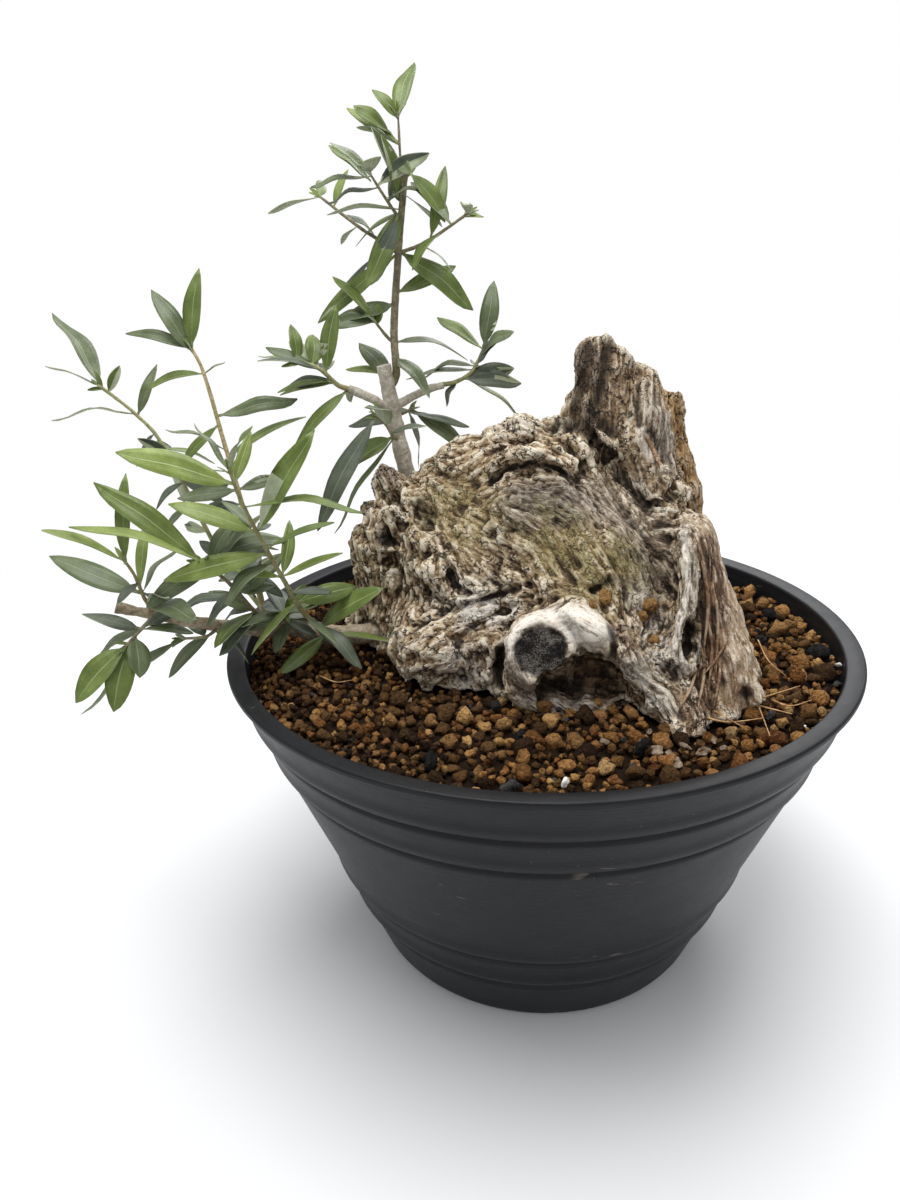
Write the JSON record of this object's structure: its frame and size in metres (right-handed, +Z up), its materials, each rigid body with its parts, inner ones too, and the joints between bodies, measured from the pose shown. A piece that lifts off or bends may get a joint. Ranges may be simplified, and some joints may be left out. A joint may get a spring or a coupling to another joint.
{
  "type": "olive bonsai",
  "caption": "Potted olive bonsai: a broad gnarled deadwood stump with clusters of slender leafy shoots, in a dark tapering bowl filled with granular soil.",
  "frame": {"origin": "centre of the bowl's flat underside, where it stands", "axes": "+Z up along the bowl's axis, the front of the stump towards -Y, the leafy side towards -X"},
  "size_m": [0.3466, 0.27, 0.375],
  "materials": {
    "pot": "moulded charcoal plastic, finely brushed round the wall, a little scuffed",
    "soil": "dry fired-clay grains, dark brown to ochre",
    "trunk": "weathered old wood, flaking bark, grey to tan with a moss tint",
    "bark": "grey-tan young bark",
    "foliage": "leathery leaves, grey-green to yellow-green, silvery below"
  },
  "bodies": {
    "root": {"pot": "pot", "soil": "soil", "trunk": "trunk", "rear_stem": "bark", "rear_left_bough": "bark", "rear_right_bough": "bark", "left_limb": "bark", "left_arm": "bark", "rear_crown": "foliage", "rear_left_spray": "foliage", "rear_right_spray": "foliage", "rear_low_left_spray": "foliage", "rear_low_right_spray": "foliage", "left_tan_spray": "foliage", "left_outer_spray": "foliage", "left_front_spray": "foliage", "left_mid_spray": "foliage", "left_knot_spray": "foliage", "left_arm_tip_spray": "foliage", "left_arm_under_spray": "foliage", "left_arm_middle_spray": "foliage"}
  },
  "joints": []
}
